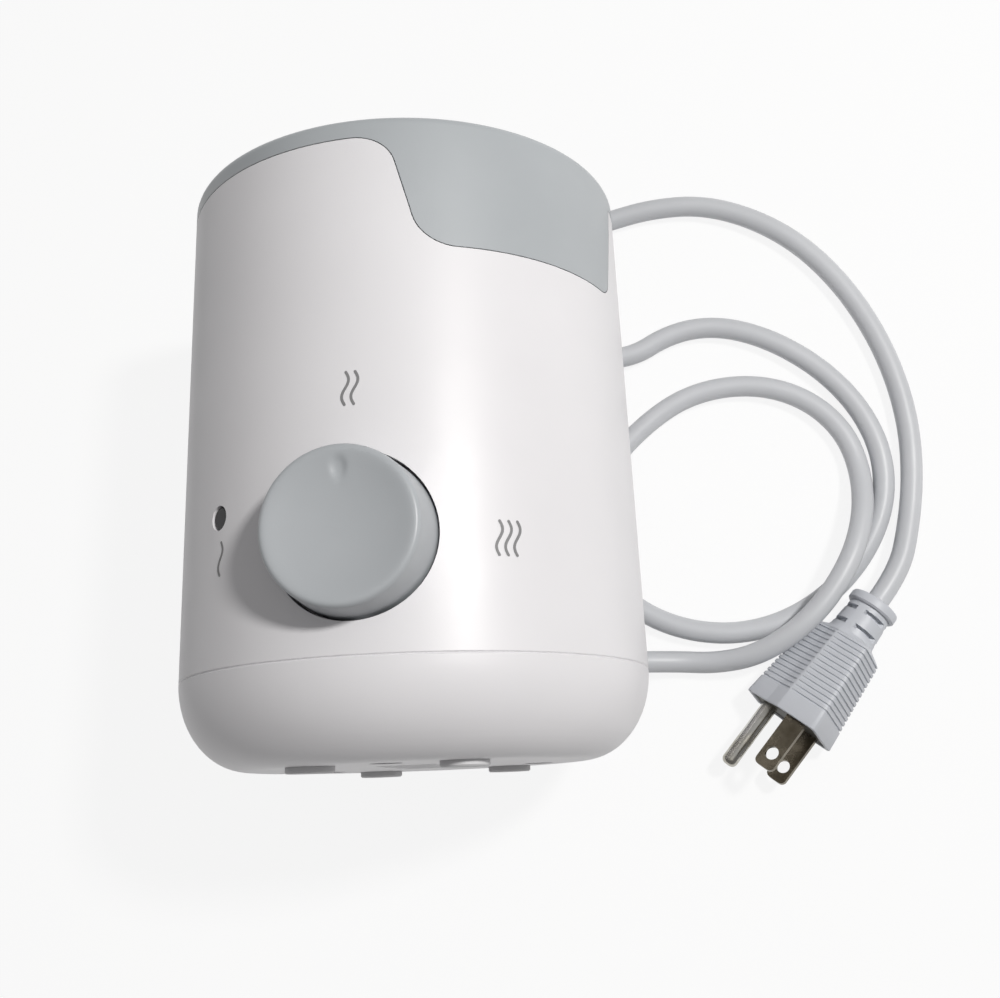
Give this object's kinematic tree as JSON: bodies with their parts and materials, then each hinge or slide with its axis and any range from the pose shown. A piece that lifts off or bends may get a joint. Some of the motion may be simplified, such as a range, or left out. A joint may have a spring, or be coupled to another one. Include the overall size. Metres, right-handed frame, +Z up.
{
  "type": "baby food warmer",
  "caption": "Round counter-top warmer with a heated well, a grey ring and panel, a setting knob, an indicator and a mains lead, lying on its back.",
  "frame": {"origin": "on the surface that the warmer lies on, under the middle of its body", "axes": "+Z up, away from that surface, with the knob on top; +Y along the body from its feet to its mouth"},
  "size_m": [0.2104, 0.1933, 0.1341],
  "materials": {
    "white_shell": "satin moulded plastic, white with a cool cast",
    "grey_trim": "satin grey moulded plastic",
    "knob_grey": "satin grey moulded plastic",
    "lead_jacket": "soft light grey jacket",
    "plug_grip": "soft light grey moulding",
    "pin_metal": "nickel plated, slightly tarnished",
    "steel": "zinc plated",
    "rubber_foot": "matt grey",
    "well_white": "matt white, heat resistant",
    "seal_silicone": "translucent white silicone",
    "plate_aluminium": "brushed, non-stick coated",
    "heater_sheath": "matt sheath",
    "lens_dark": "dark translucent lens",
    "lamp_clear": "clear lamp body",
    "board_green": "coated laminate",
    "inner_black": "black moulding",
    "wire_brown": "brown insulation",
    "wire_blue": "blue insulation",
    "wire_green": "green and yellow insulation"
  },
  "bodies": {
    "root": {"base": "white_shell", "base_screws": "steel", "board_lead": "wire_brown", "board_screws": "steel", "control_board": "board_green", "cord_clamp": "inner_black", "cord_clamp_screws": "steel", "cord_gland": "lead_jacket", "cord_tail": "lead_jacket", "earth_wire": "wire_green", "feet": "rubber_foot", "heater_clamp": "steel", "heater_clamp_screws": "steel", "heater_element": "heater_sheath", "heater_leads": "wire_brown", "heating_plate": "plate_aluminium", "housing": "white_shell", "indicator_led": "lamp_clear", "indicator_lens": "lens_dark", "live_wire": "wire_brown", "neutral_wire": "wire_blue", "plug_blades": "pin_metal", "plug_body": "plug_grip", "plug_bridge": "inner_black", "plug_earth_pin": "pin_metal", "power_cord": "lead_jacket", "rim_trim": "grey_trim", "rotary_switch": "inner_black", "sensor_leads": "wire_brown", "terminal_block": "inner_black", "thermal_fuse": "steel", "thermostat": "steel", "well_liner": "well_white", "well_seal": "seal_silicone"},
    "dial": {"knob": "knob_grey", "switch_shaft": "inner_black"}
  },
  "joints": [
    {"name": "dial_turn", "type": "hinge", "parent": "root", "child": "dial", "pos_m": [0, -0.02641, 0.13342], "axis": [0, 0.0135, 0.9999], "range_deg": [-90, 180]}
  ]
}
